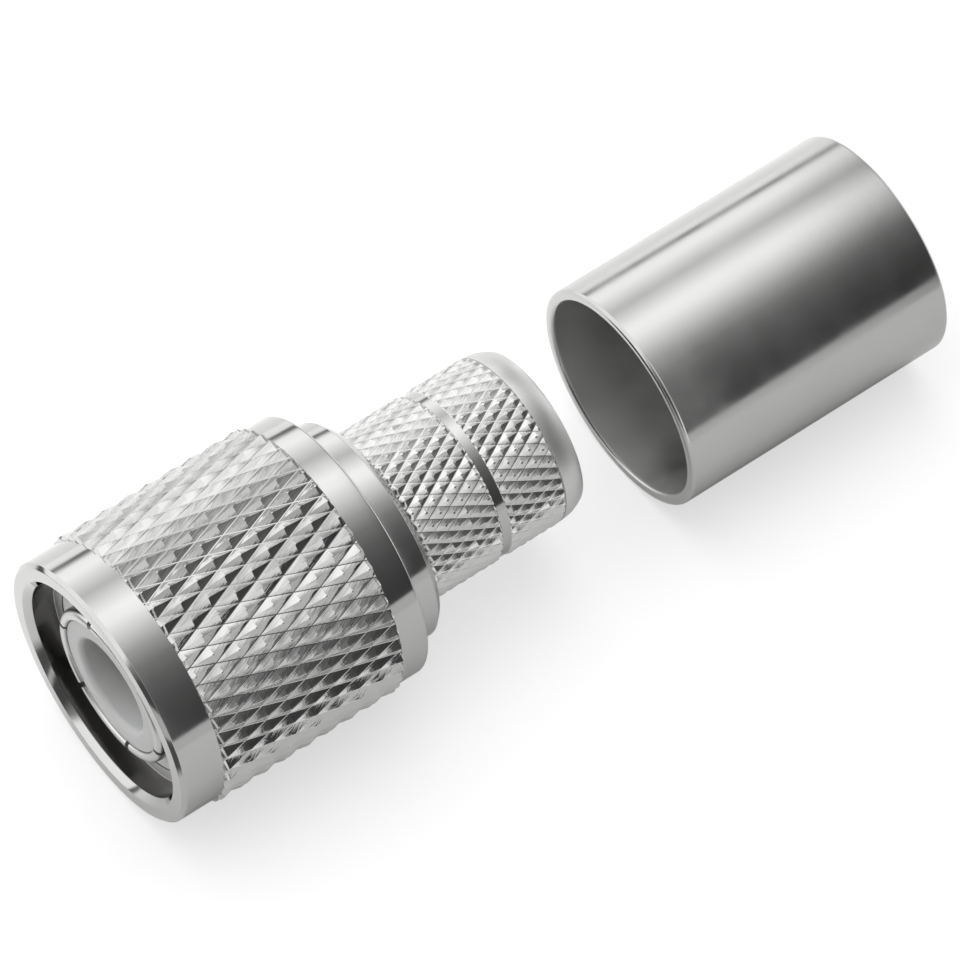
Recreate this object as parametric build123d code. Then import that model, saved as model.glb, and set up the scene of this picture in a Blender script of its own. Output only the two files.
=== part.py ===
from build123d import *
import math
import os

# A TNC crimp plug for thick coaxial cable, lying beside its loose crimp ferrule.
# Sizes are in millimetres. Each piece is drawn about the X axis, with stations measured
# back from the coupling nut's front face, and is moved to its place at the end.

# Coupling nut
nut_length = 13.75
band_d = 13.7
knurl_d = 14.1
knurl_depth = 0.3
knurl_start = 2.25
knurl_length = 10.0
knurl_count = 48
knurl_helix = 21.0
knurl_end_chamfer = 0.15
nut_front_round = 0.3
nut_rear_round = 0.1
counterbore_d = 11.0
counterbore_depth = 1.3
mouth_chamfer = 0.2
thread_bore_d = 10.3
thread_lead_chamfer = 0.2

# Body: its barrel runs in the nut, its flange shows behind it, its stem takes the braid
shoulder_station = 8.2
barrel_d = 9.7
barrel_edge_chamfer = 0.25
running_gap = 0.05
nut_rear_gap = 0.1
flange_d = 11.4
flange_width = 1.6
flange_chamfer = 0.35
neck_d = 8.5
neck_width = 0.35
stem_d = 8.9
stem_length = 9.2
stem_knurl_depth = 0.2
stem_knurl_count = 42
stem_knurl_helix = 29.0
stem_knurl_end_chamfer = 0.12
relief_from_flange = 4.35
relief_width = 0.48
relief_depth = 0.22
stem_tip_length = 1.25
stem_tip_drop = 0.35
stem_tip_round = 0.18
cable_bore_d = 7.5
cable_mouth_chamfer = 0.15
dividing_wall = 0.8
dividing_hole_d = 5.5

# Slotted outer contact, pressed into the body
contact_recess = 0.6
contact_d = 8.1
contact_wall = 0.55
finger_flex_gap = 0.1
slot_count = 6
slot_width = 0.3
slot_length = 4.6
slot_first_angle = 10.0
press_depth = 3.0
finger_tip_share = 0.45

# Insulator
insulator_recess = 0.75
insulator_round = 0.25
socket_d = 4.8
socket_depth = 5.4
socket_mouth_round = 0.3
pin_hole_d = 2.3

# Gasket gripping the fingers just inside the nut's mouth; the first mating pushes it back
gasket_station = 1.55
gasket_thickness = 1.0
gasket_d = 10.2
gasket_round = 0.2

# Retaining ring, sprung into a groove in the barrel and one in the nut
ring_from_nut_rear = 2.15
ring_thickness = 0.8
ring_d = 10.8
ring_inner_d = 9.0
ring_opening = 2.0
ring_gap = 0.1

# Loose crimp ferrule
ferrule_station = 29.35
ferrule_d = 11.6
ferrule_wall = 0.58
ferrule_length = 15.1
ferrule_edge_round = 0.2
ferrule_side = 0.48

# Drawing allowances: a knurl's core stays just below its valleys, and cuts run past faces
core_allowance = 0.02
overcut = 1.0

# Worked out from the sizes above
ring_station = nut_length - ring_from_nut_rear
overall_length = ferrule_station + ferrule_length
plug_place = Pos(-overall_length / 2, 0, knurl_d / 2)
ferrule_place = Pos(ferrule_station - overall_length / 2, -ferrule_side, ferrule_d / 2)
flange_station = nut_length + nut_rear_gap
stem_station = flange_station + flange_width
stem_end = stem_station + stem_length
press_end = shoulder_station + press_depth
sleeve_bore_d = contact_d - 2 * contact_wall


def turned(points, rounds=(), chamfers=()):
    """Solid of revolution about X of a closed outline of (station, radius) points."""
    outline = make_face(Polyline(*points, close=True))
    for station, radius, size in rounds:
        outline = fillet(corner(outline, station, radius), size)
    for station, radius, size in chamfers:
        outline = chamfer(corner(outline, station, radius), size)
    return revolve(outline, Axis.X)


def corner(outline, station, radius):
    return outline.vertices().sort_by_distance((station, radius, 0))[0]


def ring(start, end, outer_d, inner_d=0.0):
    """Plain round bar or tube between two stations."""
    low, high = inner_d / 2, outer_d / 2
    return turned([(start, low), (end, low), (end, high), (start, high)])


def diamond_bar(start, end, tip_d, depth, count, helix):
    """Bar covered in rhombic pyramids, as two crossing sets of V grooves leave it.

    Columns stand half a pyramid apart. In each, tips and groove crossings take turns
    round the bar, and the next column has them the other way about.
    """
    tip_radius = tip_d / 2
    pyramid_length = math.pi * tip_d / count / math.tan(math.radians(helix))
    columns = math.ceil(2 * (end - start) / pyramid_length) + 1
    spare = columns * pyramid_length / 2 - (end - start)

    def point(column, step):
        radius = tip_radius if (column + step) % 2 else tip_radius - depth
        angle = math.pi * step / count
        station = start - spare / 2 + column * pyramid_length / 2
        return Vector(station, radius * math.cos(angle), radius * math.sin(angle))

    rings = [[point(column, step) for step in range(2 * count)] for column in range(columns + 1)]
    facets = [Face(Wire.make_polygon(rings[0])), Face(Wire.make_polygon(rings[-1]))]
    for column in range(columns):
        near, far = rings[column], rings[column + 1]
        for step in range(2 * count):
            following = (step + 1) % (2 * count)
            if (column + step) % 2:
                # The near tip and the far tip of the next step share this valley line.
                corners = [(near[step], far[step], near[following])]
                corners.append((far[following], near[following], far[step]))
            else:
                corners = [(near[step], far[step], far[following])]
                corners.append((near[step], far[following], near[following]))
            facets += [Face(Wire.make_polygon(triangle)) for triangle in corners]
    return Solid(Shell(facets))


def knurled_band(start, length, tip_d, depth, count, helix, end_chamfer):
    """Hollow knurled band with chamfered ends, ready to fuse to a turned core."""
    end = start + length
    high = tip_d / 2
    low = high - 2 * depth
    envelope = turned(
        [(start, low), (end, low), (end, high), (start, high)],
        chamfers=[(start, high, end_chamfer), (end, high, end_chamfer)],
    )
    return diamond_bar(start, end, tip_d, depth, count, helix) & envelope


def coupling_nut():
    rim = band_d / 2
    core = knurl_d / 2 - knurl_depth - core_allowance
    knurl_end = knurl_start + knurl_length
    blank = turned(
        [
            (0, 0),
            (nut_length, 0),
            (nut_length, rim),
            (knurl_end, rim),
            (knurl_end, core),
            (knurl_start, core),
            (knurl_start, rim),
            (0, rim),
        ],
        rounds=[(0, rim, nut_front_round), (nut_length, rim, nut_rear_round)],
    )
    knurl = knurled_band(
        knurl_start,
        knurl_length,
        knurl_d,
        knurl_depth,
        knurl_count,
        knurl_helix,
        knurl_end_chamfer,
    )
    return blank + knurl - nut_bore()


def nut_bore():
    """Counterbore, thread bore at the thread's inner diameter, barrel bore and ring groove."""
    mouth = counterbore_d / 2
    thread = thread_bore_d / 2
    barrel = barrel_d / 2 + running_gap
    groove = ring_d / 2 + ring_gap
    groove_start = ring_station - ring_gap
    groove_end = ring_station + ring_thickness + ring_gap
    return turned(
        [
            (-overcut, 0),
            (nut_length + overcut, 0),
            (nut_length + overcut, barrel),
            (groove_end, barrel),
            (groove_end, groove),
            (groove_start, groove),
            (groove_start, barrel),
            (shoulder_station, barrel),
            (shoulder_station, thread),
            (counterbore_depth + thread_lead_chamfer, thread),
            (counterbore_depth, thread + thread_lead_chamfer),
            (counterbore_depth, mouth),
            (mouth_chamfer, mouth),
            (0, mouth + mouth_chamfer),
            (-overcut, mouth + mouth_chamfer),
        ]
    )


def plug_body():
    return body_blank() + stem_knurls() - body_bore() - barrel_groove()


def body_blank():
    barrel = barrel_d / 2
    flange = flange_d / 2
    neck = neck_d / 2
    core = stem_d / 2 - stem_knurl_depth - core_allowance
    tip = stem_d / 2
    knurl_from = stem_station + neck_width
    tip_from = stem_end - stem_tip_length
    return turned(
        [
            (shoulder_station, 0),
            (stem_end, 0),
            (stem_end, tip - stem_tip_drop),
            (tip_from, tip),
            (tip_from, core),
            (knurl_from, core),
            (knurl_from, neck),
            (stem_station, neck),
            (stem_station, flange),
            (flange_station, flange),
            (flange_station, barrel),
            (shoulder_station, barrel),
        ],
        rounds=[(stem_end, tip - stem_tip_drop, stem_tip_round)],
        chamfers=[
            (stem_station, flange, flange_chamfer),
            (flange_station, flange, flange_chamfer / 2),
            (shoulder_station, barrel, barrel_edge_chamfer),
        ],
    )


def stem_knurls():
    """The stem's two knurled bands and the plain relief ring between them."""
    first_start = stem_station + neck_width
    relief_start = stem_station + relief_from_flange
    second_start = relief_start + relief_width
    second_end = stem_end - stem_tip_length
    relief = ring(relief_start, second_start, stem_d - 2 * relief_depth, stem_d - 4 * stem_knurl_depth)
    return stem_band(first_start, relief_start) + relief + stem_band(second_start, second_end)


def stem_band(start, end):
    return knurled_band(
        start,
        end - start,
        stem_d,
        stem_knurl_depth,
        stem_knurl_count,
        stem_knurl_helix,
        stem_knurl_end_chamfer,
    )


def body_bore():
    """Contact bore, dividing wall and cable bore, drawn as the air they enclose."""
    contact = contact_d / 2
    hole = dividing_hole_d / 2
    cable = cable_bore_d / 2
    wall_end = press_end + dividing_wall
    return turned(
        [
            (shoulder_station - overcut, 0),
            (stem_end + overcut, 0),
            (stem_end + overcut, cable + cable_mouth_chamfer),
            (stem_end, cable + cable_mouth_chamfer),
            (stem_end - cable_mouth_chamfer, cable),
            (wall_end, cable),
            (wall_end, hole),
            (press_end, hole),
            (press_end, contact),
            (shoulder_station - overcut, contact),
        ]
    )


def barrel_groove():
    floor_d = ring_inner_d - 2 * ring_gap
    start = ring_station - ring_gap
    return ring(start, ring_station + ring_thickness + ring_gap, barrel_d + overcut, floor_d)


def outer_contact():
    """Thin sleeve, rounded at its tips, with slots that leave it as spring fingers."""
    outer = contact_d / 2
    inner = sleeve_bore_d / 2
    relieved = inner + finger_flex_gap
    slots_end = contact_recess + slot_length
    tip_round = (outer - relieved) * finger_tip_share
    sleeve = turned(
        [
            (contact_recess, relieved),
            (slots_end, relieved),
            (slots_end, inner),
            (press_end, inner),
            (press_end, outer),
            (contact_recess, outer),
        ],
        rounds=[(contact_recess, relieved, tip_round), (contact_recess, outer, tip_round)],
    )
    return sleeve - contact_slots()


def contact_slots():
    """Slots as boxes that reach from the axis out through the sleeve's wall at its tips."""
    middle = contact_recess + (slot_length - overcut) / 2
    slot = Pos(middle, contact_d / 2, 0) * Box(slot_length + overcut, contact_d, slot_width)
    turns = [slot_first_angle + 360 * number / slot_count for number in range(slot_count)]
    return [Rot(turn, 0, 0) * slot for turn in turns]


def insulator():
    outer = sleeve_bore_d / 2
    socket = socket_d / 2
    hole = pin_hole_d / 2
    socket_end = insulator_recess + socket_depth
    return turned(
        [
            (insulator_recess, socket),
            (socket_end, socket),
            (socket_end, hole),
            (press_end, hole),
            (press_end, outer),
            (insulator_recess, outer),
        ],
        rounds=[
            (insulator_recess, socket, socket_mouth_round),
            (insulator_recess, outer, insulator_round),
        ],
    )


def sealing_gasket():
    outer = gasket_d / 2
    inner = contact_d / 2
    end = gasket_station + gasket_thickness
    return turned(
        [
            (gasket_station, inner),
            (end, inner),
            (end, outer),
            (gasket_station, outer),
        ],
        rounds=[(gasket_station, outer, gasket_round), (end, outer, gasket_round)],
    )


def retaining_ring():
    """Flat sprung ring with the opening that lets it close into the barrel's groove."""
    whole = ring(ring_station, ring_station + ring_thickness, ring_d, ring_inner_d)
    middle = ring_station + ring_thickness / 2
    opening = Pos(middle, 0, -ring_d / 2) * Box(2 * ring_thickness, ring_opening, ring_d)
    return whole - opening


def crimp_ferrule():
    outer = ferrule_d / 2
    inner = outer - ferrule_wall
    corners = [(0, inner), (ferrule_length, inner), (ferrule_length, outer), (0, outer)]
    return turned(corners, rounds=[(*place, ferrule_edge_round) for place in corners])


def main():
    os.makedirs("parts", exist_ok=True)
    pieces = {
        "coupling_nut": plug_place * coupling_nut(),
        "plug_body": plug_place * plug_body(),
        "outer_contact": plug_place * outer_contact(),
        "insulator": plug_place * insulator(),
        "sealing_gasket": plug_place * sealing_gasket(),
        "retaining_ring": plug_place * retaining_ring(),
        "crimp_ferrule": ferrule_place * crimp_ferrule(),
    }
    for node, solid in pieces.items():
        export_step(solid, f"parts/{node}.step")


main()
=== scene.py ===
import math

import bmesh
import bpy
from mathutils import Matrix, Vector


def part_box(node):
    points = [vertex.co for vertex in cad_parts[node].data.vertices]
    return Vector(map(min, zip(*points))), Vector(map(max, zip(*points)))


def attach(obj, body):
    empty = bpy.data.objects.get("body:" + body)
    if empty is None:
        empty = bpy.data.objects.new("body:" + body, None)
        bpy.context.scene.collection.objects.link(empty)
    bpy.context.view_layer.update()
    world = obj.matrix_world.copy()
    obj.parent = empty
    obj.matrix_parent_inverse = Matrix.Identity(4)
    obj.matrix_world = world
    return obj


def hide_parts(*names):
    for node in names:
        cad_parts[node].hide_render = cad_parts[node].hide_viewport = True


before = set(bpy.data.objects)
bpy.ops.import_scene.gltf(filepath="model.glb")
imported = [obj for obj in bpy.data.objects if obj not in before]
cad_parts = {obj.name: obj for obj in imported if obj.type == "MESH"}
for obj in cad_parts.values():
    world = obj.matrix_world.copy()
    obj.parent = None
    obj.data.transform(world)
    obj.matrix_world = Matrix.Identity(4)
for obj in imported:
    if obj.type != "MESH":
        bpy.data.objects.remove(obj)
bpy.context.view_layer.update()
MM = 0.001

# Camera. The plug and its ferrule lie on a table and are seen from above and from the mating
# end, through a long lens. Its aim and scale are set by two things read off the photograph:
# where the middle of the nut's front face falls, and how large a millimetre is there.
PHOTO_SIDE = 960
FRONT_CENTRE_X, FRONT_CENTRE_Y = 97.0, 695.0
PIXELS_PER_MM = 21.95
LENS_DISTANCE_MM = 366.0
CAMERA_AZIMUTH, CAMERA_ELEVATION = -36.35, 57.0
SENSOR_MM = 36.0
CLIP_START, CLIP_END = 0.01, 10


def axis_start(low, high):
    """Where the axis of a round piece starts: the middle of its box's front face."""
    return Vector((low.x, (low.y + high.y) / 2, (low.z + high.z) / 2))


nut_low, nut_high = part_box("coupling_nut")
plug_axis = axis_start(nut_low, nut_high)


def aim_camera():
    azimuth, elevation = math.radians(CAMERA_AZIMUTH), math.radians(CAMERA_ELEVATION)
    flat = Vector((math.sin(azimuth), -math.cos(azimuth), 0))
    back = flat * math.cos(elevation) + Vector((0, 0, math.sin(elevation)))
    right = Vector((math.cos(azimuth), math.sin(azimuth), 0))
    up = back.cross(right)
    across = (FRONT_CENTRE_X - PHOTO_SIDE / 2) / PIXELS_PER_MM * MM
    down = (FRONT_CENTRE_Y - PHOTO_SIDE / 2) / PIXELS_PER_MM * MM
    data = bpy.data.cameras.new("photograph_view")
    data.sensor_width = SENSOR_MM
    data.lens = PIXELS_PER_MM * LENS_DISTANCE_MM / PHOTO_SIDE * SENSOR_MM
    data.clip_start, data.clip_end = CLIP_START, CLIP_END
    camera = bpy.data.objects.new("photograph_view", data)
    camera.location = plug_axis - right * across + up * down + back * LENS_DISTANCE_MM * MM
    camera.rotation_mode = "QUATERNION"
    camera.rotation_quaternion = back.to_track_quat("Z", "Y")
    bpy.context.scene.collection.objects.link(camera)
    bpy.context.scene.camera = camera


aim_camera()


# Table and light tent. The pieces lie on a round white card, under a photographer's tent with
# bright and dark panels. Polished nickel is mostly a picture of this tent, so the bands that
# the eye reads on the metal come from these levels.

# The card's radius and the lamp's sizes are in metres.
CARD_RADIUS, CARD_SIDES = 0.06, 128
# The card is painted a little greyer near the camera: painted shade, which shows in the metal's
# reflections.
CARD_NEAR_PAINTED_SHADE, CARD_FAR, CARD_BLEND_MM = "D2D2D1", "F6F6F5", 8.0
# Beyond the mating end the card is painted dark, a painted shade that the chamfer of the nut's
# mouth reflects.
CARD_END_PAINTED_SHADE, DARK_END_MM, PALE_START_MM = "545454", -33.0, -30.0
# How far the camera sees plain white over the card's shading, so that shadows stay pale.
SHADOW_SOFTENING = 0.45
TOP_LAMP_SIZE, TOP_LAMP_FAR, TOP_LAMP_HEIGHT, TOP_LAMP_WATTS = 0.9, 0.1, 0.8, 3.0
WHITE = "FFFFFF"

# A panel has stops over the axis and stops along it, and its light is their product. Over the
# axis a stop is an angle and a brightness. Angles start straight down (-90) and pass the far
# horizon (0), overhead (90) and the near horizon (180) to straight down again (270). Along
# the axis a stop is a share, from the mating end (0) to the cable end (1), and a brightness.
TENT_OVER = (
    (-90, 1.40),
    (-2, 1.40),
    (0, 0.20),
    (3, 0.24),
    (9, 1.60),
    (20, 1.70),
    (32, 1.30),
    (44, 0.88),
    (56, 1.35),
    (67, 1.75),
    (76, 1.66),
    (88, 1.22),
    (104, 0.61),
    (117, 0.31),
    (130, 0.19),
    (146, 0.12),
    (164, 0.08),
    (180, 0.065),
    (181, 0.72),
    (270, 0.72),
)
TENT_ALONG = (
    (0.0, 0.15),
    (0.35, 0.2),
    (0.60, 1.0),
    (0.70, 1.0),
    (0.76, 0.5),
    (0.9, 0.4),
    (1.0, 0.4),
)
# A white card stands at the mating end, out of sight. It lights the knurl's faces that look
# that way, most from above and from the far side.
CARD_OVER = (
    (-90, 1.5),
    (88, 1.45),
    (108, 0.4),
    (140, 0.1),
    (176, 0.1),
    (184, 0.7),
    (270, 0.7),
)
CARD_ALONG = ((0.0, 1.0), (0.54, 1.0), (0.60, 0.0), (1.0, 0.0))
# A second card stands beyond the cable end. It is bright low down on the far side, greyer
# overhead and dark on the camera's side.
END_CARD_OVER = (
    (-90, 1.6),
    (0, 1.4),
    (12, 0.75),
    (88, 0.75),
    (102, 0.35),
    (124, 0.2),
    (150, 0.12),
    (200, 0.12),
    (270, 0.2),
)
END_CARD_ALONG = ((0.0, 0.0), (0.72, 0.0), (0.76, 0.6), (0.83, 0.7), (0.88, 1.2), (1.0, 1.2))
# A narrow panel stands by the camera, for the knurl's faces that look at it. It is dimmest at
# the camera's own height.
FILL_OVER = (
    (-90, 0.0),
    (92, 0.0),
    (104, 1.1),
    (122, 0.95),
    (138, 0.65),
    (152, 0.8),
    (168, 1.2),
    (270, 1.2),
)
FILL_ALONG = ((0.0, 0.0), (0.30, 0.0), (0.40, 1.0), (0.57, 1.0), (0.61, 0.0), (1.0, 0.0))
# Far beyond the cable end stands a bright wall that only the rounded rims show.
RIM_OVER = ((-90, 1.3), (270, 1.3))
RIM_ALONG = ((0.0, 0.0), (0.93, 0.0), (0.96, 1.0), (1.0, 1.0))
PANELS = (
    (TENT_OVER, TENT_ALONG),
    (CARD_OVER, CARD_ALONG),
    (END_CARD_OVER, END_CARD_ALONG),
    (FILL_OVER, FILL_ALONG),
    (RIM_OVER, RIM_ALONG),
)
# A ramp holds no level above 1, so each is stored as a share of this one.
BRIGHTEST = 2.0


def linear(code):
    """sRGB hex to the linear colour that a shader socket takes."""
    channels = [int(code[i : i + 2], 16) / 255 for i in (0, 2, 4)]
    return [c / 12.92 if c <= 0.04045 else ((c + 0.055) / 1.055) ** 2.4 for c in channels] + [1]


def add_node(tree, kind, settings=None, **inputs):
    """Adds a node. Inputs go by socket name with spaces as _, or as i0, i1 by number.

    A value that is a socket is linked, as is a node's first output for a value that is a
    node. Any other value is set on the socket.
    """
    node = tree.nodes.new(kind)
    for name, value in (settings or {}).items():
        setattr(node, name, value)
    for name, value in inputs.items():
        if name[0] == "i" and name[1:].isdigit():
            socket = node.inputs[int(name[1:])]
        else:
            socket = node.inputs[name.replace("_", " ")]
        if isinstance(value, bpy.types.Node):
            value = value.outputs[0]
        if isinstance(value, bpy.types.NodeSocket):
            tree.links.new(value, socket)
        else:
            socket.default_value = value
    return node


MATH, VECTOR_MATH = "ShaderNodeMath", "ShaderNodeVectorMath"
ADD, SUBTRACT = {"operation": "ADD"}, {"operation": "SUBTRACT"}
MULTIPLY, DIVIDE = {"operation": "MULTIPLY"}, {"operation": "DIVIDE"}
MULTIPLY_ADD, LARGER = {"operation": "MULTIPLY_ADD"}, {"operation": "MAXIMUM"}
COSINE, SINE = {"operation": "COSINE"}, {"operation": "SINE"}
ARCTAN2, WRAP, SCALE = {"operation": "ARCTAN2"}, {"operation": "WRAP"}, {"operation": "SCALE"}
# A Mix node set to colours takes them on sockets 6 and 7 and gives its own on output 2.
MIX, COLOURS, MIXED = "ShaderNodeMix", {"data_type": "RGBA"}, 2


def light_tent():
    """World that is the brightest of its panels in each direction, and white to the camera."""
    world = bpy.data.worlds.new("light_tent")
    world.use_nodes = True
    tree = world.node_tree
    tree.nodes.clear()
    direction = add_node(tree, "ShaderNodeTexCoord").outputs["Generated"]
    toward = add_node(tree, "ShaderNodeSeparateXYZ", Vector=direction).outputs
    over = add_node(tree, MATH, ARCTAN2, i0=toward["Z"], i1=toward["Y"])
    turned = add_node(tree, MATH, WRAP, i0=over, i1=1.5 * math.pi, i2=-0.5 * math.pi)
    over_share = add_node(tree, MATH, MULTIPLY_ADD, i0=turned, i1=0.5 / math.pi, i2=0.25)
    along_share = add_node(tree, MATH, MULTIPLY_ADD, i0=toward["X"], i1=0.5, i2=0.5)
    light = 0.0
    for over_stops, along_stops in PANELS:
        shares = [((degrees + 90) / 360, level) for degrees, level in over_stops]
        ramps = []
        for position, stops in ((over_share, shares), (along_share, along_stops)):
            ramp = add_node(tree, "ShaderNodeValToRGB", Fac=position)
            elements = ramp.color_ramp.elements
            for _ in stops[1:-1]:
                elements.new(0.5)
            for element, (share, level) in zip(elements, stops):
                element.position = share
                element.color = [level / BRIGHTEST] * 3 + [1]
            ramps.append(ramp)
        panel = add_node(tree, MATH, MULTIPLY, i0=ramps[0], i1=ramps[1])
        light = add_node(tree, MATH, LARGER, i0=light, i1=panel)
    tent = add_node(tree, "ShaderNodeBackground", Color=light, Strength=BRIGHTEST**2)
    white = add_node(tree, "ShaderNodeBackground", Color=linear(WHITE), Strength=1.0)
    # The camera alone sees white. The metal sees the tent, as it does in the photograph.
    seen = add_node(tree, "ShaderNodeLightPath").outputs["Is Camera Ray"]
    shown = add_node(tree, "ShaderNodeMixShader", Fac=seen, i1=tent, i2=white)
    add_node(tree, "ShaderNodeOutputWorld", Surface=shown)
    bpy.context.scene.world = world


def plain_material(name):
    """New material and its empty node tree."""
    material = bpy.data.materials.new(name)
    material.use_nodes = True
    material.node_tree.nodes.clear()
    return material, material.node_tree


def table():
    """Matt white card with painted shade, a little greyer near the camera and dark beyond the
    mating end, that still shows the pieces' shadow.
    """
    bpy.ops.mesh.primitive_circle_add(
        vertices=CARD_SIDES, radius=CARD_RADIUS, fill_type="NGON", location=(0, 0, 0)
    )
    card = bpy.context.object
    card.name = "table_card"
    material, tree = plain_material("matt_white_card_with_painted_shade")
    place = add_node(tree, "ShaderNodeTexCoord").outputs["Object"]
    where = add_node(tree, "ShaderNodeSeparateXYZ", Vector=place).outputs
    reach, dark_end, pale_start = CARD_BLEND_MM * MM, DARK_END_MM * MM, PALE_START_MM * MM
    # Greyer towards the camera: painted shade.
    far = add_node(tree, "ShaderNodeMapRange", Value=where["Y"], i1=-reach, i2=reach)
    # Dark beyond the mating end: painted shade.
    inside = add_node(tree, "ShaderNodeMapRange", Value=where["X"], i1=dark_end, i2=pale_start)
    near_painted_shade, far_tint, end_painted_shade = linear(CARD_NEAR_PAINTED_SHADE), linear(CARD_FAR), linear(CARD_END_PAINTED_SHADE)
    pale = add_node(tree, MIX, COLOURS, Factor=far, i6=near_painted_shade, i7=far_tint).outputs[MIXED]
    tint = add_node(tree, MIX, COLOURS, Factor=inside, i6=end_painted_shade, i7=pale).outputs[MIXED]
    skin = add_node(tree, "ShaderNodeBsdfDiffuse", Color=tint)
    # To the camera alone, the card's own light makes up what its tint lacks of white.
    seen = add_node(tree, "ShaderNodeLightPath").outputs["Is Camera Ray"]
    missing = add_node(tree, "ShaderNodeInvert", Color=tint)
    lift = add_node(tree, "ShaderNodeEmission", Color=missing, Strength=seen)
    lifted = add_node(tree, "ShaderNodeAddShader", i0=skin, i1=lift)
    white = add_node(tree, "ShaderNodeEmission", Color=linear(WHITE), Strength=1.0)
    share = add_node(tree, MATH, MULTIPLY, i0=seen, i1=SHADOW_SOFTENING)
    shown = add_node(tree, "ShaderNodeMixShader", Fac=share, i1=lifted, i2=white)
    add_node(tree, "ShaderNodeOutputMaterial", Surface=shown)
    card.data.materials.append(material)


def top_lamp():
    """Large soft lamp overhead, which the metal itself doesn't show."""
    data = bpy.data.lights.new("top_lamp", "AREA")
    data.shape = "DISK"
    data.size = TOP_LAMP_SIZE
    data.energy = TOP_LAMP_WATTS
    lamp = bpy.data.objects.new("top_lamp", data)
    lamp.location = (0, TOP_LAMP_FAR, TOP_LAMP_HEIGHT)
    lamp.visible_glossy = False
    bpy.context.scene.collection.objects.link(lamp)


light_tent()
table()
top_lamp()
bpy.context.scene.view_settings.view_transform = "Standard"


# Coupling nut. Brass bar, turned and bored, with a diamond knurl rolled between two plain
# bands, then barrelled and plated with bright nickel. Inside are a smooth counterbore and
# the coupling thread. It turns freely on the plug's barrel.

# Sizes are in mm. A station is measured along the axis from the nut's front face.
NUT_BAND_MM, NUT_KNURL_MM = 13.7, 14.1
NUT_KNURL_START, NUT_KNURL_END = 2.25, 12.25
NUT_FRONT_CHAMFER, NUT_REAR_ROUND = 0.18, 0.15
EDGE_BREAK, FINE_BREAK = 0.05, 0.03
COUNTERBORE_MM, COUNTERBORE_DEPTH, MOUTH_CHAMFER = 11.3, 1.5, 0.33
# A thin lip closes the counterbore's floor over the gasket's rounded rim.
LIP_MM, LIP_THICKNESS, LIP_ROOT = 9.94, 0.04, 0.1
BARREL_BORE_MM = 9.8
THREAD_INNER_MM, THREAD_OUTER_MM, THREAD_PITCH = 10.3, 11.1, 0.907
THREAD_START, THREAD_END, THREAD_FADE = 2.6, 8.0, 0.4
THREAD_SLOPE, THREAD_FLAT, THREAD_ROWS_PER_PITCH = 1.5, 0.25, 12
RUNOUT, RUNOUT_TAPER = 0.2, 0.1
# The knurl is a shell of its own, and the turned core stays this far under its grooves.
NUT_CORE_DROP = 0.05
# The helix is in degrees, and flat is the share of each diamond's top that is left flat.
NUT_KNURL = {
    "tip_mm": NUT_KNURL_MM,
    "depth": 0.27,
    "count": 48,
    "helix": 21.0,
    "flat": 0.06,
    "crest_round": 0.01,
    "chamfer": 0.1,
}
ROUND_STEPS, TURNED_STEPS = 6, 192
SHARP_ANGLE = 28
# How squarely a face must look at the axis to count as bore, or out of the mouth as ledge.
BORE_FACING, LEDGE_FACING = 0.8, 0.6


def outline(corners):
    """Closed outline of (station, radius) in mm, from corners of (station, radius, rounding)."""
    points = []
    for number, (station, radius, rounding) in enumerate(corners):
        here = Vector((station, radius))
        if rounding <= 0:
            points.append(here)
            continue
        before = (Vector(corners[number - 1][:2]) - here).normalized()
        after = (Vector(corners[(number + 1) % len(corners)][:2]) - here).normalized()
        half = before.angle(after) / 2
        centre = here + (before + after).normalized() * (rounding / math.sin(half))
        start = here + before * (rounding / math.tan(half)) - centre
        end = here + after * (rounding / math.tan(half)) - centre
        sweep = start.angle_signed(end)
        for step in range(ROUND_STEPS + 1):
            points.append(centre + Matrix.Rotation(-sweep * step / ROUND_STEPS, 2) @ start)
    return points


def spun(points, turn, axis):
    """Places in metres of an outline's points, turned by so many radians about an axis."""
    spoke = Vector((0, math.cos(turn), math.sin(turn)))
    return [axis + Vector((station * MM, 0, 0)) + spoke * radius * MM for station, radius in points]


def skin_over(rings, whole_turn=True):
    """Closed bmesh with a skin from ring to ring, back to the first one or between two caps."""
    shell = bmesh.new()
    loops = [[shell.verts.new(place) for place in ring] for ring in rings]
    pairs = list(zip(loops, loops[1:]))
    if whole_turn:
        pairs.append((loops[-1], loops[0]))
    for near, far in pairs:
        for point in range(len(near)):
            following = (point + 1) % len(near)
            shell.faces.new((near[point], near[following], far[following], far[point]))
    if not whole_turn:
        shell.faces.new(loops[0])
        shell.faces.new(loops[-1])
    bmesh.ops.recalc_face_normals(shell, faces=shell.faces)
    return shell


def turned_shell(corners, axis=plug_axis):
    """Closed bmesh of an outline's corners turned round an axis."""
    points = outline(corners)
    turns = [2 * math.pi * step / TURNED_STEPS for step in range(TURNED_STEPS)]
    return skin_over([spun(points, turn, axis) for turn in turns])


def thread_radius(station, share):
    """Radius of the threaded bore at a station, a share of the way round it."""
    fade = min(1.0, (station - THREAD_START) / THREAD_FADE, (THREAD_END - station) / THREAD_FADE)
    phase = (station / THREAD_PITCH - share) % 1
    height = min(1.0, max(0.0, THREAD_SLOPE * abs(2 * phase - 1) - THREAD_FLAT)) * fade
    return THREAD_INNER_MM / 2 + height * (THREAD_OUTER_MM - THREAD_INNER_MM) / 2


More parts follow.
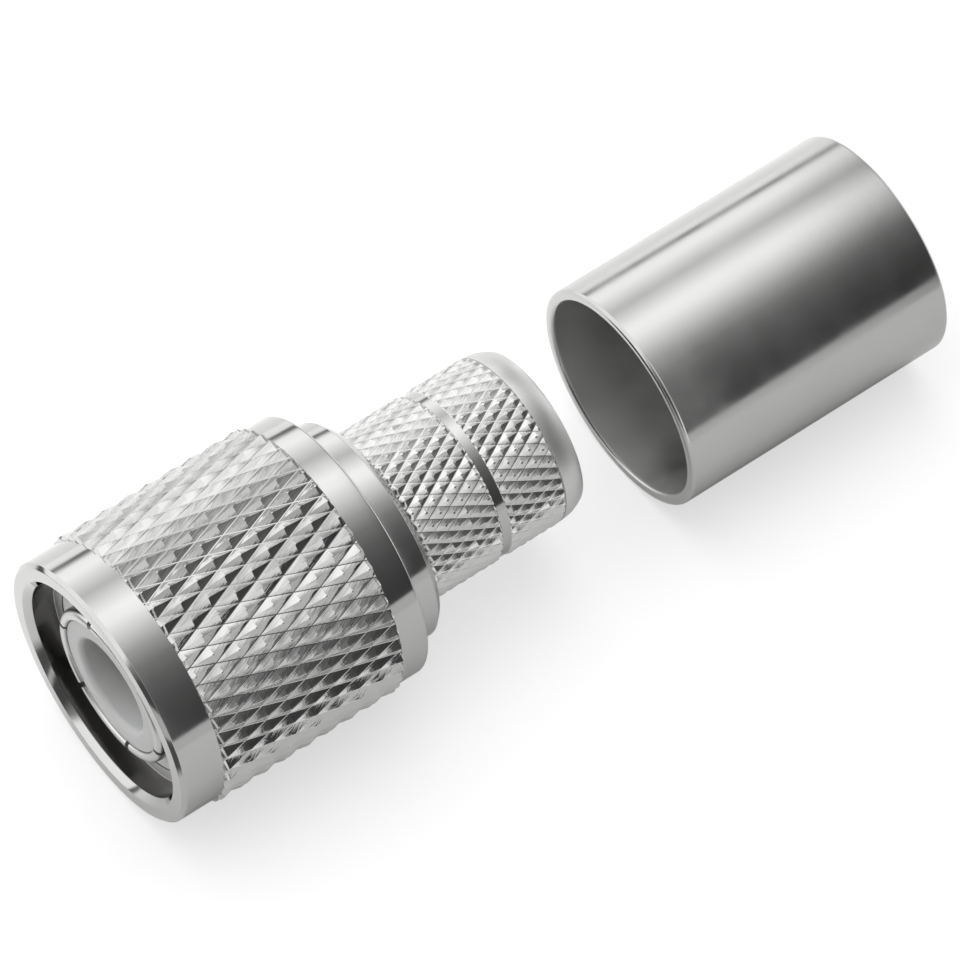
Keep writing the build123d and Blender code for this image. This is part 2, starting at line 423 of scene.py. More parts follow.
def nut_shell():
    """The nut without its knurl: outside turned plain, bore with a helical thread."""
    band, barrel = NUT_BAND_MM / 2, BARREL_BORE_MM / 2
    mouth, thread, lip = COUNTERBORE_MM / 2, THREAD_INNER_MM / 2, LIP_MM / 2
    core = NUT_KNURL_MM / 2 - NUT_KNURL["depth"] - NUT_CORE_DROP
    nut_length = (nut_high.x - nut_low.x) / MM
    before_thread = [
        (0, mouth + MOUTH_CHAMFER, EDGE_BREAK),
        (0, band - NUT_FRONT_CHAMFER, FINE_BREAK),
        (NUT_FRONT_CHAMFER, band, FINE_BREAK),
        (NUT_KNURL_START, band, 0),
        (NUT_KNURL_START, core, 0),
        (NUT_KNURL_END, core, 0),
        (NUT_KNURL_END, band, 0),
        (nut_length, band, NUT_REAR_ROUND),
        (nut_length, barrel, EDGE_BREAK),
        (THREAD_END + RUNOUT + RUNOUT_TAPER, barrel, 0),
        (THREAD_END + RUNOUT, thread, 0),
    ]
    after_thread = [
        (COUNTERBORE_DEPTH + LIP_ROOT, thread, 0),
        (COUNTERBORE_DEPTH + LIP_THICKNESS, lip, 0),
        (COUNTERBORE_DEPTH, lip, 0),
        (COUNTERBORE_DEPTH, mouth, FINE_BREAK),
        (MOUTH_CHAMFER, mouth, EDGE_BREAK),
    ]
    # Each corner's neighbours count for its rounding, so the outline is split only afterwards.
    points = outline(before_thread + after_thread)
    split = sum(ROUND_STEPS + 1 if rounding > 0 else 1 for _, _, rounding in before_thread)
    length = THREAD_END - THREAD_START
    rows = int(length / THREAD_PITCH * THREAD_ROWS_PER_PITCH)
    stations = [THREAD_START + length * row / rows for row in range(rows, -1, -1)]
    rings = []
    for step in range(TURNED_STEPS):
        share = step / TURNED_STEPS
        threaded = [(station, thread_radius(station, share)) for station in stations]
        profile = points[:split] + threaded + points[split:]
        rings.append(spun(profile, 2 * math.pi * share, plug_axis))
    return skin_over(rings)


# The knurl. One pyramid with a flat top is stamped on a sheet, which is wrapped into a tube.
# Of the way from a diamond's middle to its corner, this share is flank, and the rest is half
# of the groove's flat floor.
GROOVE_FLOOR_SHARE = 0.95
# The rolls leave no two diamonds quite alike, over patches of this size.
ROLLED_WOBBLE, WOBBLE_PATCH_MM = 0.03, 0.9
WELD_MM = 0.004
# Edges that turn by more than this many radians are crests, and their plating is rounded.
CREST_ANGLE, CREST_SEGMENTS = 0.3, 2
# Shares of the end chamfer where the knurl is cut across, so that it can follow the slope.
CHAMFER_CUTS = (1.0, 0.66, 0.33, 0.0)


def loose_object(name, shell):
    """Object that holds a bmesh for as long as a Geometry Nodes tree needs it."""
    mesh = bpy.data.meshes.new(name)
    shell.to_mesh(mesh)
    shell.free()
    made = bpy.data.objects.new(name, mesh)
    bpy.context.scene.collection.objects.link(made)
    return made


def diamond(flat):
    """One rhombic pyramid of the knurl, a unit high and a unit from its middle to a corner."""
    shape = bmesh.new()
    rings = []
    for reach, height in ((1.0, 0.0), (GROOVE_FLOOR_SHARE, 0.0), (flat, 1.0)):
        corners = ((reach, 0), (0, reach), (-reach, 0), (0, -reach))
        rings.append([shape.verts.new((x, y, height)) for x, y in corners])
    for outer, inner in zip(rings, rings[1:]):
        for side in range(4):
            following = (side + 1) % 4
            shape.faces.new((outer[side], outer[following], inner[following], inner[side]))
    shape.faces.new(rings[-1])
    return loose_object("diamond", shape)


def sized_tree(name, kinds):
    """Geometry Nodes tree with named inputs for its sizes, and those inputs as sockets."""
    tree = bpy.data.node_groups.new(name, "GeometryNodeTree")
    for label, kind in kinds.items():
        tree.interface.new_socket(label, in_out="INPUT", socket_type="NodeSocket" + kind)
    tree.interface.new_socket("Geometry", in_out="OUTPUT", socket_type="NodeSocketGeometry")
    return tree, add_node(tree, "NodeGroupInput").outputs


def knurl_tree():
    """Geometry Nodes tree: a sheet of knurl diamonds, wrapped round the X axis and welded."""
    kinds = {
        "Diamond": "Object",
        "Count": "Int",
        "Columns": "Int",
        "Tip Radius": "Float",
        "Depth": "Float",
        "Diamond Length": "Float",
        "Wobble": "Float",
        "Finish": "Material",
    }
    tree, sizes = sized_tree("diamond_knurl", kinds)
    count, columns, tip = sizes["Count"], sizes["Columns"], sizes["Tip Radius"]
    depth, length = sizes["Depth"], sizes["Diamond Length"]

    # Two equal lattices of places, the second half a diamond further on both ways.
    girth = add_node(tree, MATH, MULTIPLY, i0=tip, i1=2 * math.pi)
    width = add_node(tree, MATH, DIVIDE, i0=girth, i1=count)
    gaps = add_node(tree, MATH, SUBTRACT, i0=columns, i1=1.0)
    sheet_length = add_node(tree, MATH, MULTIPLY, i0=gaps, i1=length)
    sheet_width = add_node(tree, MATH, SUBTRACT, i0=girth, i1=width)
    places = add_node(
        tree,
        "GeometryNodeMeshGrid",
        Size_X=sheet_length,
        Size_Y=sheet_width,
        Vertices_X=columns,
        Vertices_Y=count,
    )
    half_length = add_node(tree, MATH, MULTIPLY, i0=length, i1=0.5)
    half_width = add_node(tree, MATH, MULTIPLY, i0=width, i1=0.5)
    step = add_node(tree, "ShaderNodeCombineXYZ", X=half_length, Y=half_width)
    between = add_node(tree, "GeometryNodeTransform", Geometry=places, Translation=step)
    lattice = add_node(tree, "GeometryNodeJoinGeometry")
    for half in (places, between):
        tree.links.new(half.outputs[0], lattice.inputs[0])
    stamp = add_node(tree, "GeometryNodeObjectInfo", Object=sizes["Diamond"]).outputs["Geometry"]
    shape = add_node(tree, "ShaderNodeCombineXYZ", X=half_length, Y=half_width, Z=depth)
    diamonds = add_node(
        tree, "GeometryNodeInstanceOnPoints", Points=lattice, Instance=stamp, Scale=shape
    )
    sheet = add_node(tree, "GeometryNodeRealizeInstances", Geometry=diamonds)

    # The sheet's second way becomes an angle, and its height a radius.
    here = add_node(tree, "GeometryNodeInputPosition")
    where = add_node(tree, "ShaderNodeSeparateXYZ", Vector=here).outputs
    angle = add_node(tree, MATH, DIVIDE, i0=where["Y"], i1=tip)
    floor = add_node(tree, MATH, SUBTRACT, i0=tip, i1=depth)
    radius = add_node(tree, MATH, ADD, i0=floor, i1=where["Z"])
    cosine, sine = add_node(tree, MATH, COSINE, i0=angle), add_node(tree, MATH, SINE, i0=angle)
    aside = add_node(tree, MATH, MULTIPLY, i0=radius, i1=cosine)
    above = add_node(tree, MATH, MULTIPLY, i0=radius, i1=sine)
    wrapped = add_node(tree, "ShaderNodeCombineXYZ", X=where["X"], Y=aside, Z=above)
    tube = add_node(tree, "GeometryNodeSetPosition", Geometry=sheet, Position=wrapped)
    welded = add_node(tree, "GeometryNodeMergeByDistance", Geometry=tube, Distance=WELD_MM * MM)

    # The noise moves each corner a little, about its middle value.
    patches = 1 / (WOBBLE_PATCH_MM * MM)
    noise = add_node(tree, "ShaderNodeTexNoise", Scale=patches, Detail=1.0).outputs["Color"]
    centred = add_node(tree, VECTOR_MATH, SUBTRACT, i0=noise, i1=(0.5, 0.5, 0.5))
    shift = add_node(tree, VECTOR_MATH, SCALE, i0=centred, Scale=sizes["Wobble"])
    rolled = add_node(tree, "GeometryNodeSetPosition", Geometry=welded, Offset=shift)
    plain = add_node(tree, "GeometryNodeRealizeInstances", Geometry=rolled)
    finish = sizes["Finish"]
    done = add_node(tree, "GeometryNodeSetMaterial", Geometry=plain, Material=finish)
    add_node(tree, "NodeGroupOutput", Geometry=done)
    return tree


def plain_mesh_of(tree, values):
    """Runs a Geometry Nodes tree with these inputs and returns its result as a plain mesh."""
    maker = bpy.data.objects.new("maker", bpy.data.meshes.new("maker"))
    bpy.context.scene.collection.objects.link(maker)
    modifier = maker.modifiers.new("nodes", "NODES")
    modifier.node_group = tree
    names = {s.name: s.identifier for s in tree.interface.items_tree if s.in_out == "INPUT"}
    for name, value in values.items():
        modifier[names[name]] = value
    graph = bpy.context.evaluated_depsgraph_get()
    mesh = bpy.data.meshes.new_from_object(maker.evaluated_get(graph))
    maker.modifiers.remove(modifier)
    bpy.data.objects.remove(maker)
    return mesh


def move_to_radius(vert, radius):
    """Moves a vertex straight towards or away from the plug's axis, onto a radius."""
    spot = vert.co - plug_axis
    across = Vector((0, spot.y, spot.z)).normalized() * radius
    vert.co = plug_axis + Vector((spot.x, across.y, across.z))


DIAMOND_KNURL = knurl_tree()


def knurled_shell(start, end, material, tip_mm, depth, count, helix, flat, crest_round, chamfer):
    """Closed knurled sleeve between two stations, trimmed square and chamfered at its ends."""
    length = math.pi * tip_mm / count / math.tan(math.radians(helix))
    stamp = diamond(flat)
    values = {
        "Diamond": stamp,
        "Count": count,
        # One column more than fits at each end, for the trim.
        "Columns": math.ceil((end - start) / length) + 2,
        "Tip Radius": tip_mm / 2 * MM,
        "Depth": depth * MM,
        "Diamond Length": length * MM,
        "Wobble": ROLLED_WOBBLE * MM,
        "Finish": material,
    }
    shell = bmesh.new()
    mesh = plain_mesh_of(DIAMOND_KNURL, values)
    shell.from_mesh(mesh)
    bpy.data.meshes.remove(mesh)
    bpy.data.objects.remove(stamp)
    sharp = [edge for edge in shell.edges if edge.calc_face_angle(0) > CREST_ANGLE]
    bmesh.ops.bevel(
        shell,
        geom=[edge for edge in sharp if edge.is_convex],
        offset=crest_round * MM,
        segments=CREST_SEGMENTS,
        profile=0.5,
        affect="EDGES",
        clamp_overlap=True,
    )
    middle = (start + end) / 2
    bmesh.ops.translate(shell, verts=shell.verts, vec=plug_axis + Vector((middle * MM, 0, 0)))
    for edge, outward in ((start, -1), (end, 1)):
        for share in CHAMFER_CUTS:
            station = edge - outward * chamfer * share
            bmesh.ops.bisect_plane(
                shell,
                geom=shell.verts[:] + shell.edges[:] + shell.faces[:],
                plane_co=plug_axis + Vector((station * MM, 0, 0)),
                plane_no=(outward, 0, 0),
                clear_outer=share == 0.0,
            )
    for vert in shell.verts:
        spot = vert.co - plug_axis
        from_end = min(spot.x / MM - start, end - spot.x / MM)
        allowed = (tip_mm / 2 - chamfer + max(0.0, min(from_end, chamfer))) * MM
        if math.hypot(spot.y, spot.z) > allowed:
            move_to_radius(vert, allowed)
    # Both rims are drawn in under the grooves and joined there, which closes the sleeve.
    rims = [edge for edge in shell.edges if edge.is_boundary]
    grown = bmesh.ops.extrude_edge_only(shell, edges=rims)["geom"]
    for vert in (item for item in grown if isinstance(item, bmesh.types.BMVert)):
        move_to_radius(vert, (tip_mm / 2 - 2 * depth) * MM)
    mouths = [item for item in grown if isinstance(item, bmesh.types.BMEdge)]
    bmesh.ops.bridge_loops(shell, edges=[edge for edge in mouths if edge.is_boundary])
    bmesh.ops.recalc_face_normals(shell, faces=shell.faces)
    return shell


# Bright nickel is a light grey, a trace warm. Its roughness differs by these shares, from
# glossier to duller patches.
NICKEL_DARK, NICKEL_LIGHT = "B9B9B8", "C2C2C1"
PATCH_MM, PATCH_LOW, PATCH_HIGH = 2.5, 0.3, 0.7
GLOSSY_SHARE, DULL_SHARE = 0.8, 1.25
PEEL_STRENGTH = 0.5
# On a knurl the roll drags as it bites, and leaves streaks this long, a little under the tips.
KNURL_PEEL_MM, KNURL_PEEL_HEIGHT_MM = 0.12, 0.006
STREAK_LENGTH_MM, STREAK_STRENGTH, STREAK_DROP = 1.5, 0.8, 0.05


def bright_nickel(name, roughness, peel_mm, peel_height_mm, dark=NICKEL_DARK, light=NICKEL_LIGHT):
    """Bright nickel on brass: a grey mirror, softened by a fine orange peel.

    Real peel is finer than a pixel here, so it is drawn as coarse as it needs to show.
    """
    material, tree = plain_material(name)
    place = add_node(tree, "ShaderNodeTexCoord").outputs["Object"]
    fine, slow = 1 / (peel_mm * MM), 1 / (PATCH_MM * MM)
    peel = add_node(tree, "ShaderNodeTexNoise", Vector=place, Scale=fine, Detail=3.0)
    patches = add_node(tree, "ShaderNodeTexNoise", Vector=place, Scale=slow, Detail=2.0)
    rough = add_node(
        tree,
        "ShaderNodeMapRange",
        Value=patches,
        i1=PATCH_LOW,
        i2=PATCH_HIGH,
        i3=roughness * GLOSSY_SHARE,
        i4=roughness * DULL_SHARE,
    )
    bump = add_node(
        tree, "ShaderNodeBump", Height=peel, Strength=PEEL_STRENGTH, Distance=peel_height_mm * MM
    )
    tint = add_node(tree, MIX, COLOURS, Factor=patches, i6=linear(dark), i7=linear(light))
    skin = add_node(
        tree,
        "ShaderNodeBsdfPrincipled",
        Base_Color=tint.outputs[MIXED],
        Metallic=1.0,
        Roughness=rough,
        Normal=bump,
    )
    add_node(tree, "ShaderNodeOutputMaterial", Surface=skin)
    return material


def rolled_nickel(name, roughness, knurl, streak_mm, streak_height_mm, dark, light):
    """Nickel on a rolled knurl, with fine streaks along the grooves of one hand."""
    peel = KNURL_PEEL_MM, KNURL_PEEL_HEIGHT_MM
    radius, slope = knurl["tip_mm"] / 2 - STREAK_DROP, math.radians(knurl["helix"])
    material = bright_nickel(name, roughness, *peel, dark, light)
    tree = material.node_tree
    skin = tree.nodes["Principled BSDF"]
    place = add_node(tree, "ShaderNodeTexCoord").outputs["Object"]
    to_axis = add_node(tree, VECTOR_MATH, SUBTRACT, i0=place, i1=tuple(plug_axis))
    where = add_node(tree, "ShaderNodeSeparateXYZ", Vector=to_axis).outputs
    angle = add_node(tree, MATH, ARCTAN2, i0=where["Y"], i1=where["Z"])
    around = add_node(tree, MATH, MULTIPLY, i0=angle, i1=-radius * MM)
    part = add_node(tree, MATH, MULTIPLY, i0=where["X"], i1=math.sin(slope))
    across = add_node(tree, MATH, MULTIPLY_ADD, i0=around, i1=math.cos(slope), i2=part)
    fine = add_node(tree, MATH, MULTIPLY, i0=across, i1=1 / (streak_mm * MM))
    slow = add_node(tree, MATH, MULTIPLY, i0=where["X"], i1=1 / (STREAK_LENGTH_MM * MM))
    drawn_out = add_node(tree, "ShaderNodeCombineXYZ", X=fine, Y=slow)
    streaks = add_node(tree, "ShaderNodeTexNoise", Vector=drawn_out, Scale=1.0, Detail=2.0)
    bump = add_node(
        tree,
        "ShaderNodeBump",
        Height=streaks,
        Strength=STREAK_STRENGTH,
        Distance=streak_height_mm * MM,
        Normal=skin.inputs["Normal"].links[0].from_socket,
    )
    tree.links.new(bump.outputs[0], skin.inputs["Normal"])
    return material


def finished_piece(name, parts, body, node, axis=plug_axis, bore=None, ledge=None):
    """One object from (bmesh, material) parts, riding on a body and standing for a CAD node.

    Faces that look in towards the axis take the bore's material, and those inside the mouth
    that look out of it take the ledge's, where there are any.
    """
    mesh = bpy.data.meshes.new(name)
    whole = bmesh.new()
    for number, (shell, material) in enumerate(parts):
        for face in shell.faces:
            face.smooth = True
            face.material_index = number
            outward = face.calc_center_median() - axis
            outward.x = 0
            if bore and face.normal.dot(outward.normalized()) < -BORE_FACING:
                face.material_index = len(parts)
            in_mouth = outward.length < COUNTERBORE_MM / 2 * MM
            if ledge and face.normal.x < -LEDGE_FACING and in_mouth:
                face.material_index = len(parts) + 1
        part = bpy.data.meshes.new(name + "_part")
        shell.to_mesh(part)
        shell.free()
        whole.from_mesh(part)
        bpy.data.meshes.remove(part)
        mesh.materials.append(material)
    for material in (bore, ledge):
        if material:
            mesh.materials.append(material)
    whole.to_mesh(mesh)
    whole.free()
    mesh.set_sharp_from_angle(angle=math.radians(SHARP_ANGLE))
    piece = bpy.data.objects.new(name, mesh)
    bpy.context.scene.collection.objects.link(piece)
    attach(piece, body)
    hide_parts(node)


# Turned and plated brass: a clean mirror, which shows the tent as long bands.
NUT_PLATE = bright_nickel(
    "bright_nickel_on_turned_brass", roughness=0.1, peel_mm=0.35, peel_height_mm=0.002
)
# Rolled and plated brass: every facet is a small mirror of its own, streaked by the roll.
NUT_KNURL_PLATE = rolled_nickel(
    "bright_nickel_on_rolled_knurl",
    roughness=0.08,
    knurl=NUT_KNURL,
    streak_mm=0.1,
    streak_height_mm=0.012,
    dark=NICKEL_DARK,
    light="C8C8C7",
)
# Inside the nut's bores the nickel is painted dark, a painted shade, and soft, so that the mouth
# reads as a hole.
NUT_BORE_PAINTED_SHADE = bright_nickel(
    "nickel_with_painted_shade_inside_bores",
    roughness=0.14,
    peel_mm=0.5,
    peel_height_mm=0.012,
    dark="5A5A59",
    light="72706E",
)
# The counterbore's floor is faced with a broad tool: matt. Its paler colour is painted light, which
# makes an even pale ring in the mouth.
LEDGE_PAINTED_LIGHT_PLATE = bright_nickel(
    "matt_nickel_with_painted_light_on_ledge",
    roughness=0.55,
    peel_mm=0.2,
    peel_height_mm=0.006,
    dark="D6D6D5",
    light="DEDEDD",
)

nut_knurl = knurled_shell(NUT_KNURL_START, NUT_KNURL_END, NUT_KNURL_PLATE, **NUT_KNURL)
finished_piece(
    "coupling_nut_turned",
    ((nut_shell(), NUT_PLATE), (nut_knurl, NUT_KNURL_PLATE)),
    "nut",
    "coupling_nut",
    # Faces that look in at the axis take the painted shade.
    bore=NUT_BORE_PAINTED_SHADE,
    # Faces in the mouth that look out of it take the painted light.
    ledge=LEDGE_PAINTED_LIGHT_PLATE,
)


# Plug body. One brass turning: barrel, flange and crimp stem, plated like the nut. The stem
# has a finer, steeper knurl that bites the cable's braid, a plain relief ring and a plain
# tapered tip that leads the braid on.
SHOULDER, BARREL_MM, BARREL_ROUND = 8.2, 9.7, 0.2
FLANGE_START, FLANGE_END, FLANGE_MM, FLANGE_CHAMFER = 13.85, 15.45, 11.4, 0.35
FLANGE_FRONT_ROUND, FLANGE_REAR_ROUND = 0.15, 0.12
NECK_END, NECK_MM, NECK_FILLET = 15.8, 8.5, 0.06
STEM_MM, STEM_END, STEM_CORE_DROP = 8.9, 24.65, 0.02
STEM_KNURL = {
    "tip_mm": STEM_MM,
    "depth": 0.13,
    "count": 42,
    "helix": 29.0,
    "flat": 0.16,
    "crest_round": 0.04,
    "chamfer": 0.1,
}
RELIEF_START, RELIEF_END, RELIEF_MM = 19.8, 20.28, 8.7
# The tip's taper: how far along it, how far under the stem's outside, and the rounding there.
STEM_TIP_START = 23.4
TIP_TAPER = ((0, 0.03, 0.02), (0.55, 0.09, 0), (0.95, 0.24, 0), (1.25, 0.4, 0.18))
CONTACT_MM, PRESS_END, WALL_END, WALL_HOLE_MM = 8.1, 11.2, 12.0, 5.5
CABLE_BORE_MM, CABLE_CHAMFER, CABLE_EDGE_BREAK = 7.5, 0.15, 0.02

# The same plating as the nut's, slightly softer, as on a piece that was barrelled longer.
BODY_PLATE = bright_nickel(
    "bright_nickel_on_turned_body", roughness=0.11, peel_mm=0.3, peel_height_mm=0.003
)
# The stem's knurl is rolled shallow and blunt: softer than the nut's. It is painted paler than the
# nut's, a painted light on the same plating.
STEM_KNURL_PAINTED_LIGHT_PLATE = rolled_nickel(
    "nickel_with_painted_light_on_stem_knurl",
    roughness=0.2,
    knurl=STEM_KNURL,
    streak_mm=0.08,
    streak_height_mm=0.01,
    dark="CACAC9",
    light="D6D6D5",
)
# The tip is tumbled soft before plating: satin, without a clear picture in it. It is painted paler
# than the other nickel, a painted light.
TIP_PAINTED_LIGHT_PLATE = bright_nickel(
    "satin_nickel_with_painted_light_on_stem_tip",
    roughness=0.42,
    peel_mm=0.3,
    peel_height_mm=0.003,
    dark="D0D0CF",
    light="DADAD9",
)
# Inside the stem the drill's marks show under the plating: dull, and a mid grey darker than the
# outside.
STEM_BORE_PLATE = bright_nickel(
    "drilled_nickel_inside_stem",
    roughness=0.4,
    peel_mm=0.5,
    peel_height_mm=0.012,
    dark="A4A4A3",
    light="B0B0AF",
)

barrel, press, flange, neck = BARREL_MM / 2, CONTACT_MM / 2, FLANGE_MM / 2, NECK_MM / 2
relief, cable_bore, wall_hole = RELIEF_MM / 2, CABLE_BORE_MM / 2, WALL_HOLE_MM / 2
stem = STEM_MM / 2
stem_core = stem - STEM_KNURL["depth"] - STEM_CORE_DROP
body_shell = turned_shell(
    [
        (SHOULDER, press, 0),
        (SHOULDER, barrel, BARREL_ROUND),
        (FLANGE_START, barrel, 0),
        (FLANGE_START, flange, FLANGE_FRONT_ROUND),
        (FLANGE_END - FLANGE_CHAMFER, flange, EDGE_BREAK),
        (FLANGE_END, flange - FLANGE_CHAMFER, FLANGE_REAR_ROUND),
        (FLANGE_END, neck, NECK_FILLET),
        (NECK_END, neck, 0),
        (NECK_END, stem_core, 0),
        (RELIEF_START, stem_core, 0),
        (RELIEF_START, relief, 0),
        (RELIEF_END, relief, 0),
        (RELIEF_END, stem_core, 0),
        (STEM_TIP_START, stem_core, 0),
        (STEM_TIP_START, cable_bore, 0),
        (WALL_END, cable_bore, 0),
        (WALL_END, wall_hole, 0),
        (PRESS_END, wall_hole, 0),
        (PRESS_END, press, 0),
    ]
)
stem_tip = turned_shell(
    [
        (STEM_TIP_START, cable_bore, 0),
        *((STEM_TIP_START + along, stem - drop, rounding) for along, drop, rounding in TIP_TAPER),
        (STEM_END, cable_bore + CABLE_CHAMFER, 0),
        (STEM_END - CABLE_CHAMFER, cable_bore, CABLE_EDGE_BREAK),
    ]
)
front_knurl = knurled_shell(NECK_END, RELIEF_START, STEM_KNURL_PAINTED_LIGHT_PLATE, **STEM_KNURL)
rear_knurl = knurled_shell(RELIEF_END, STEM_TIP_START, STEM_KNURL_PAINTED_LIGHT_PLATE, **STEM_KNURL)
BODY_PARTS = (
    (body_shell, BODY_PLATE),
    (front_knurl, STEM_KNURL_PAINTED_LIGHT_PLATE),
    (rear_knurl, STEM_KNURL_PAINTED_LIGHT_PLATE),
    (stem_tip, TIP_PAINTED_LIGHT_PLATE),
)
finished_piece(
    "plug_body_turned", BODY_PARTS, "plug", "plug_body", bore=STEM_BORE_PLATE
)


# Outer contact. A thin sleeve of spring brass, pressed into the body. Six slots leave it as
# spring fingers with rounded tips that press on the inside of the jack.
TIP_STATION, FINGER_ROOT, SLEEVE_BORE_MM, FLEX_GAP = 0.6, 5.2, 7.0, 0.02
SLOT_COUNT, SLOT_WIDTH_MM, FIRST_SLOT_ANGLE = 6, 0.3, 10.0
FINGER_STEPS, FINGER_ROUND = 24, 0.3

# Plated spring brass, softened where its slots were deburred: pale, with blurred highlights.
CONTACT_PLATE = bright_nickel(
    "bright_nickel_on_spring_brass",
    roughness=0.3,
    peel_mm=0.3,
    peel_height_mm=0.002,
    dark="C8C8C7",
    light="D2D2D1",
)


def one_finger():
    """Object of the finger between two slots, about the X axis."""
    inner = SLEEVE_BORE_MM / 2 + FLEX_GAP
    points = outline(
        [
            (TIP_STATION, inner, FINGER_ROUND / 2),
            (TIP_STATION, press, FINGER_ROUND),
            (FINGER_ROOT, press, 0),
            (FINGER_ROOT, inner, 0),
        ]
    )
    half_slot = math.asin(SLOT_WIDTH_MM / CONTACT_MM)
    sweep = 2 * math.pi / SLOT_COUNT - 2 * half_slot
    turns = [half_slot + sweep * step / FINGER_STEPS for step in range(FINGER_STEPS + 1)]
    rings = [spun(points, turn, Vector((0, 0, 0))) for turn in turns]
    return loose_object("finger", skin_over(rings, whole_turn=False))


def finger_tree():
    """Geometry Nodes tree: turns one finger into a crown of them."""
    kinds = {"Finger": "Object", "Count": "Int", "First Angle": "Float", "Finish": "Material"}
    tree, sizes = sized_tree("finger_crown", kinds)
    count, first, finish = sizes["Count"], sizes["First Angle"], sizes["Finish"]
    finger = add_node(tree, "GeometryNodeObjectInfo", Object=sizes["Finger"]).outputs["Geometry"]
    points = add_node(tree, "GeometryNodePoints", Count=count)
    number = add_node(tree, "GeometryNodeInputIndex")
    share = add_node(tree, MATH, DIVIDE, i0=number, i1=count)
    turn = add_node(tree, MATH, MULTIPLY_ADD, i0=share, i1=2 * math.pi, i2=first)
    facing = add_node(tree, "ShaderNodeCombineXYZ", X=turn)
    crown = add_node(
        tree, "GeometryNodeInstanceOnPoints", Points=points, Instance=finger, Rotation=facing
    )
    plain = add_node(tree, "GeometryNodeRealizeInstances", Geometry=crown)
    done = add_node(tree, "GeometryNodeSetMaterial", Geometry=plain, Material=finish)
    add_node(tree, "NodeGroupOutput", Geometry=done)
    return tree


finger = one_finger()
first_angle = math.radians(FIRST_SLOT_ANGLE)
crown_mesh = plain_mesh_of(
    finger_tree(),
    {"Finger": finger, "Count": SLOT_COUNT, "First Angle": first_angle, "Finish": CONTACT_PLATE},
)
bpy.data.objects.remove(finger)
crown = bmesh.new()
crown.from_mesh(crown_mesh)
bmesh.ops.translate(crown, verts=crown.verts, vec=plug_axis)
sleeve_bore = SLEEVE_BORE_MM / 2
sleeve = turned_shell(
    [
        (FINGER_ROOT, sleeve_bore, 0),
        (FINGER_ROOT, press, 0),
        (PRESS_END, press, 0),
        (PRESS_END, sleeve_bore, 0),
    ]
)
CONTACT_PARTS = ((crown, CONTACT_PLATE), (sleeve, CONTACT_PLATE))
finished_piece("outer_contact_fingers", CONTACT_PARTS, "plug", "outer_contact")


# Insulator. Turned from white fluoropolymer rod and pushed into the sleeve. It is soft and
# waxy, so its edges are rounded and light sinks a little way into it.
INSULATOR_START, SOCKET_END, SOCKET_MM, PIN_HOLE_MM = 0.75, 6.15, 4.8, 2.3
INSULATOR_ROUND, SOCKET_ROUND = 0.06, 0.3
INSULATOR_DARK, INSULATOR_LIGHT, INSULATOR_PATCH_MM = "BCBDBC", "C4C5C4", 1.2
CUT_GRAIN_MM, CUT_GRAIN_HEIGHT_MM, CUT_GRAIN_STRENGTH, LIGHT_DEPTH_MM = 0.12, 0.003, 0.3, 0.4


def fluoropolymer():
    """Turned fluoropolymer: dense white, waxy, with a soft sheen and a faint grain of the cut."""
    material, tree = plain_material("turned_white_fluoropolymer")
    place = add_node(tree, "ShaderNodeTexCoord").outputs["Object"]
    slow, fine = 1 / (INSULATOR_PATCH_MM * MM), 1 / (CUT_GRAIN_MM * MM)
    patches = add_node(tree, "ShaderNodeTexNoise", Vector=place, Scale=slow, Detail=2.0)
    dark, light = linear(INSULATOR_DARK), linear(INSULATOR_LIGHT)
    tint = add_node(tree, MIX, COLOURS, Factor=patches, i6=dark, i7=light)
    grain = add_node(tree, "ShaderNodeTexNoise", Vector=place, Scale=fine, Detail=2.0)
    bump = add_node(
        tree,
        "ShaderNodeBump",
        Height=grain,
        Strength=CUT_GRAIN_STRENGTH,
        Distance=CUT_GRAIN_HEIGHT_MM * MM,
    )
    skin = add_node(
        tree,
        "ShaderNodeBsdfPrincipled",
        Base_Color=tint.outputs[MIXED],
        Roughness=0.38,
        IOR=1.36,
        Subsurface_Weight=0.12,
        Subsurface_Scale=LIGHT_DEPTH_MM * MM,
        Normal=bump,
    )
    add_node(tree, "ShaderNodeOutputMaterial", Surface=skin)
    return material


insulator_shell = turned_shell(
    [
        (INSULATOR_START, SOCKET_MM / 2, SOCKET_ROUND),
        (INSULATOR_START, sleeve_bore, INSULATOR_ROUND),
        (PRESS_END, sleeve_bore, 0),
        (PRESS_END, PIN_HOLE_MM / 2, 0),
        (SOCKET_END, PIN_HOLE_MM / 2, 0),
        (SOCKET_END, SOCKET_MM / 2, 0),
    ]
)
INSULATOR_PARTS = ((insulator_shell, fluoropolymer()),)
finished_piece("insulator_turned", INSULATOR_PARTS, "plug", "insulator")


# Gasket and retaining ring. The gasket is moulded silicone that grips the fingers just inside
# the nut's mouth. The ring is stamped spring bronze that keeps the nut on the barrel, and is
# out of sight. Both keep their CAD meshes.
SILICONE_DARK, SILICONE_LIGHT, BLOOM_MM = "E4E4E2", "ECECEA", 0.8
BRONZE_DARK, BRONZE_LIGHT, MOTTLE_MM = "B08A58", "C29C68", 0.4


def silicone():
    """Moulded silicone: pale grey and matt, with a faint bloom from the mould."""
    material, tree = plain_material("moulded_pale_grey_silicone")
    place = add_node(tree, "ShaderNodeTexCoord").outputs["Object"]
    scale = 1 / (BLOOM_MM * MM)
    bloom = add_node(tree, "ShaderNodeTexNoise", Vector=place, Scale=scale, Detail=3.0)
    dark, light = linear(SILICONE_DARK), linear(SILICONE_LIGHT)
    tint = add_node(tree, MIX, COLOURS, Factor=bloom, i6=dark, i7=light).outputs[MIXED]
    skin = add_node(
        tree, "ShaderNodeBsdfPrincipled", Base_Color=tint, Roughness=0.55, IOR=1.41
    )
    add_node(tree, "ShaderNodeOutputMaterial", Surface=skin)
    return material


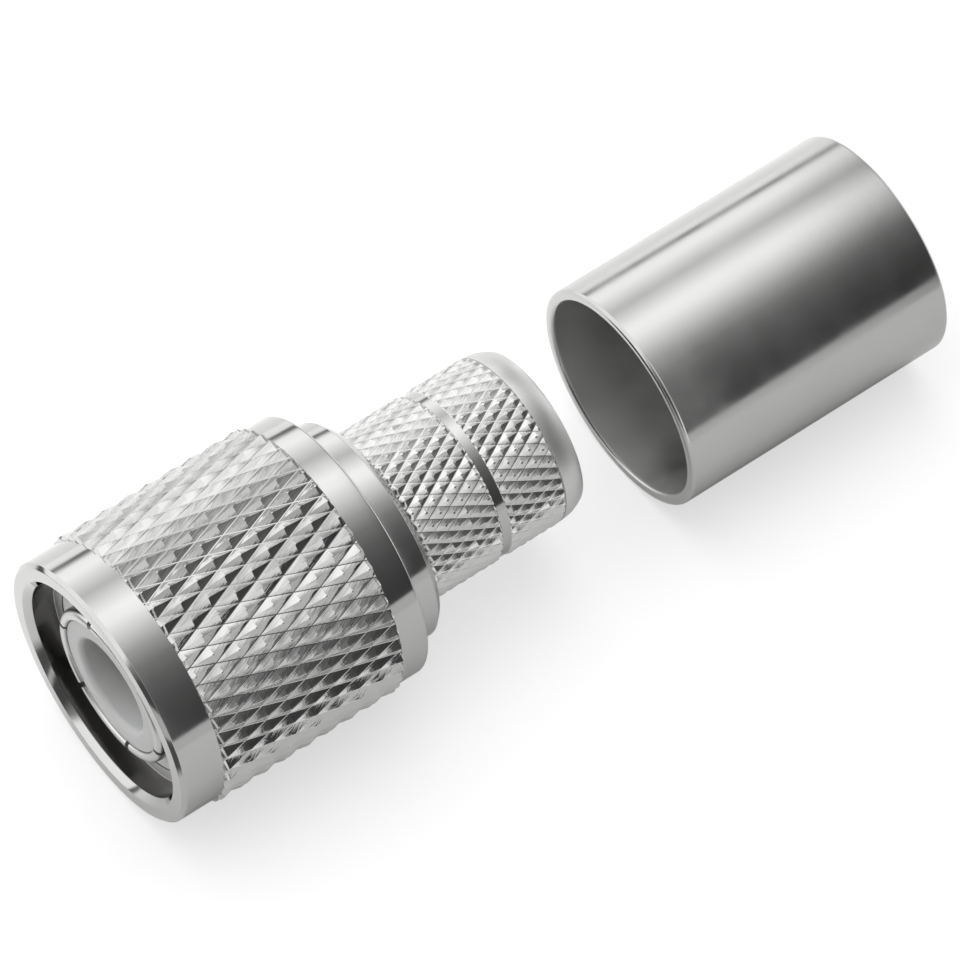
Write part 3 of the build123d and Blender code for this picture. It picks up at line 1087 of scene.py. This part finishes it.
def spring_bronze():
    """Stamped spring bronze: warm and slightly dull, mottled by the heat of tempering."""
    material, tree = plain_material("stamped_spring_bronze")
    place = add_node(tree, "ShaderNodeTexCoord").outputs["Object"]
    scale = 1 / (MOTTLE_MM * MM)
    mottle = add_node(tree, "ShaderNodeTexNoise", Vector=place, Scale=scale, Detail=4.0)
    dark, light = linear(BRONZE_DARK), linear(BRONZE_LIGHT)
    tint = add_node(tree, MIX, COLOURS, Factor=mottle, i6=dark, i7=light).outputs[MIXED]
    skin = add_node(
        tree, "ShaderNodeBsdfPrincipled", Base_Color=tint, Metallic=1.0, Roughness=0.3
    )
    add_node(tree, "ShaderNodeOutputMaterial", Surface=skin)
    return material


for node, material in (("sealing_gasket", silicone()), ("retaining_ring", spring_bronze())):
    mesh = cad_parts[node].data
    mesh.materials.clear()
    mesh.materials.append(material)


# Crimp ferrule. Thin drawn brass tube, cut off and tumbled so that both edges are round, then
# nickel plated. It lies loose behind the stem, and is crimped over the braid later.
FERRULE_WALL, FERRULE_EDGE = 0.58, 0.2

# Plating on a drawn tube: a softer mirror than the nut's, so that its bands have wide edges.
FERRULE_PLATE = bright_nickel(
    "nickel_on_drawn_tube", roughness=0.17, peel_mm=0.4, peel_height_mm=0.003
)
# Inside, the drawn skin stays under thin plating: matt, without any band.
FERRULE_BORE = bright_nickel(
    "thin_nickel_inside_tube",
    roughness=0.5,
    peel_mm=0.2,
    peel_height_mm=0.006,
    dark="B0B0AF",
    light="BCBCBB",
)

ferrule_low, ferrule_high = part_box("crimp_ferrule")
ferrule_axis = axis_start(ferrule_low, ferrule_high)
outside = (ferrule_high.z - ferrule_low.z) / 2 / MM
inside = outside - FERRULE_WALL
ferrule_length = (ferrule_high.x - ferrule_low.x) / MM
ferrule_shell = turned_shell(
    [
        (0, inside, FERRULE_EDGE),
        (0, outside, FERRULE_EDGE),
        (ferrule_length, outside, FERRULE_EDGE),
        (ferrule_length, inside, FERRULE_EDGE),
    ],
    ferrule_axis,
)
finished_piece(
    "crimp_ferrule_tube",
    ((ferrule_shell, FERRULE_PLATE),),
    "ferrule",
    "crimp_ferrule",
    axis=ferrule_axis,
    bore=FERRULE_BORE,
)
